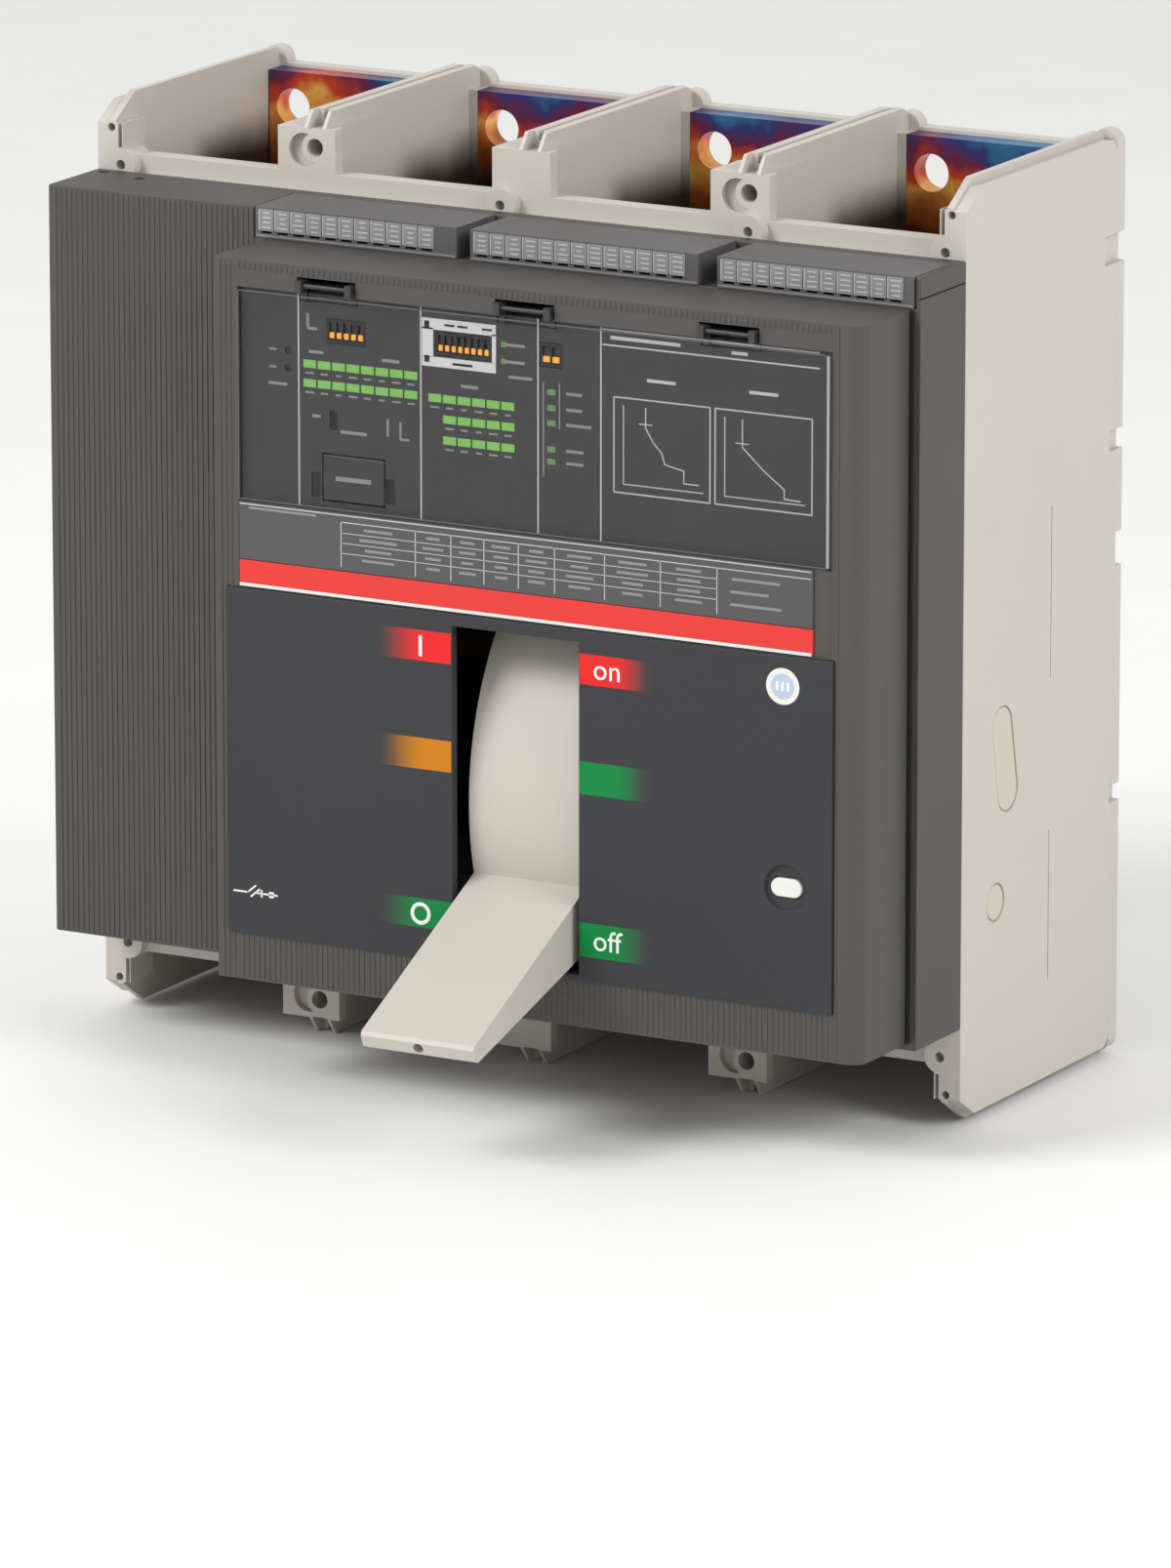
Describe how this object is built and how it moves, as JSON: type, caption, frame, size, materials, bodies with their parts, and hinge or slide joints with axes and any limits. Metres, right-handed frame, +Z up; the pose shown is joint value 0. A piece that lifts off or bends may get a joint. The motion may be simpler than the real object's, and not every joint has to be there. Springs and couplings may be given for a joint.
{
  "type": "air circuit breaker",
  "caption": "Lever-operated switchboard breaker: beige moulded case with copper terminals, ribbed dark cover, trip unit and red, amber and green lever marks.",
  "frame": {"origin": "centre of the back mounting face", "axes": "+X across the poles, to the right from the front; +Y out of the back mounting face; +Z up"},
  "size_m": [0.28, 0.2097, 0.271],
  "materials": {
    "beige_moulding": "fine matt moulding",
    "copper": "brushed copper with heat tint",
    "silver_contact": "polished contact metal",
    "steel": "zinc plated",
    "chute_plates": "steel plates in a fibre frame",
    "dark_cover": "dark brown-grey, ribbed",
    "panel": "smooth blue-black",
    "trip_unit": "dark grey, smooth",
    "label": "printed film",
    "red_label": "printed film",
    "connector": "dark grey with pale label rail",
    "lever_moulding": "fine matt moulding",
    "black_plastic": "matt",
    "shaft_moulding": "glass-filled thermoset",
    "sensor_resin": "resin case",
    "orange_slider": "satin",
    "pale_button": "satin",
    "clear": "clear polycarbonate"
  },
  "bodies": {
    "case": {"rear_frame": "beige_moulding", "case_base": "beige_moulding", "upper_terminal_1": "copper", "upper_terminal_2": "copper", "upper_terminal_3": "copper", "upper_terminal_4": "copper", "lower_terminal_1": "copper", "lower_terminal_2": "copper", "lower_terminal_3": "copper", "lower_terminal_4": "copper", "arc_chute_1": "chute_plates", "arc_chute_2": "chute_plates", "arc_chute_3": "chute_plates", "arc_chute_4": "chute_plates", "current_sensor_1": "sensor_resin", "current_sensor_2": "sensor_resin", "current_sensor_3": "sensor_resin", "current_sensor_4": "sensor_resin", "fixed_contact_pads": "silver_contact", "front_cover": "dark_cover", "cover_screws": "steel", "front_mask": "dark_cover", "toggle_panel": "panel", "rating_plate": "label", "red_band": "red_label", "connector_left": "connector", "connector_middle": "connector", "connector_right": "connector", "mechanism_frame_left": "steel", "mechanism_frame_right": "steel", "mechanism_spacers": "steel", "lever_pin": "steel", "trip_bar_pin": "steel", "trip_coil": "sensor_resin", "trip_unit_housing": "trip_unit", "trip_unit_face": "trip_unit", "dip_switch_bodies": "black_plastic", "test_plug": "trip_unit", "window_hinge_pins": "steel"},
    "lever": {"lever": "lever_moulding"},
    "drive_link": {"drive_link": "steel"},
    "pole_shaft": {"pole_shaft": "shaft_moulding", "contact_arm_1": "copper", "contact_arm_2": "copper", "contact_arm_3": "copper", "contact_arm_4": "copper"},
    "slot_shutter": {"slot_shutter": "black_plastic"},
    "trip_bar": {"trip_bar": "shaft_moulding"},
    "trip_plunger": {"trip_plunger": "steel"},
    "trip_button": {"trip_button": "pale_button"},
    "window_cover": {"window_cover": "clear"},
    "long_time_sliders": {"long_time_sliders": "orange_slider"},
    "short_time_sliders": {"short_time_sliders": "orange_slider"},
    "neutral_sliders": {"neutral_sliders": "orange_slider"}
  },
  "joints": [
    {"name": "lever_swing", "type": "hinge", "parent": "case", "child": "lever", "pos_m": [0.02845, -0.072, -0.0455], "axis": [-1, 0, 0], "range_deg": [-1, 49.5]},
    {"name": "shaft_turn", "type": "hinge", "parent": "case", "child": "pole_shaft", "pos_m": [0, -0.046, -0.022], "axis": [-1, 0, 0], "range_deg": [-1.5, 50]},
    {"name": "link_turn", "type": "hinge", "parent": "lever", "child": "drive_link", "pos_m": [0.0182, -0.08857, -0.03847], "axis": [-1, 0, 0], "range_deg": [-50, 1.5]},
    {"name": "shutter_turn", "type": "hinge", "parent": "case", "child": "slot_shutter", "pos_m": [0.02845, -0.072, -0.0455], "axis": [-1, 0, 0], "range_deg": [-0.5, 4.5]},
    {"name": "trip_bar_turn", "type": "hinge", "parent": "case", "child": "trip_bar", "pos_m": [0.094, -0.112, -0.04], "axis": [1, 0, 0], "range_deg": [0, 10.8]},
    {"name": "button_press", "type": "slide", "parent": "case", "child": "trip_button", "axis": [0, 1, 0], "range_m": [0, 0.003], "stiffness_N_per_m": 300},
    {"name": "plunger_slide", "type": "slide", "parent": "case", "child": "trip_plunger", "axis": [0, 1, 0], "range_m": [0, 0.0031]},
    {"name": "cover_swing", "type": "hinge", "parent": "case", "child": "window_cover", "pos_m": [0.033, -0.1536, 0.0987], "axis": [-1, 0, 0], "range_deg": [0, 100]},
    {"name": "long_time_set", "type": "slide", "parent": "case", "child": "long_time_sliders", "axis": [0, 0, 1], "range_m": [0, 0.0024]},
    {"name": "short_time_set", "type": "slide", "parent": "case", "child": "short_time_sliders", "axis": [0, 0, 1], "range_m": [0, 0.0024]},
    {"name": "neutral_set", "type": "slide", "parent": "case", "child": "neutral_sliders", "axis": [0, 0, 1], "range_m": [0, 0.0024]}
  ],
  "couplings": [
    {"joint": "shaft_turn", "follows": "lever_swing", "ratio": 1},
    {"joint": "link_turn", "follows": "lever_swing", "ratio": -1},
    {"joint": "shutter_turn", "follows": "lever_swing", "ratio": 0.08},
    {"joint": "trip_bar_turn", "follows": "button_press", "rad_per_m": 62.25},
    {"joint": "plunger_slide", "follows": "button_press", "ratio": 1}
  ]
}
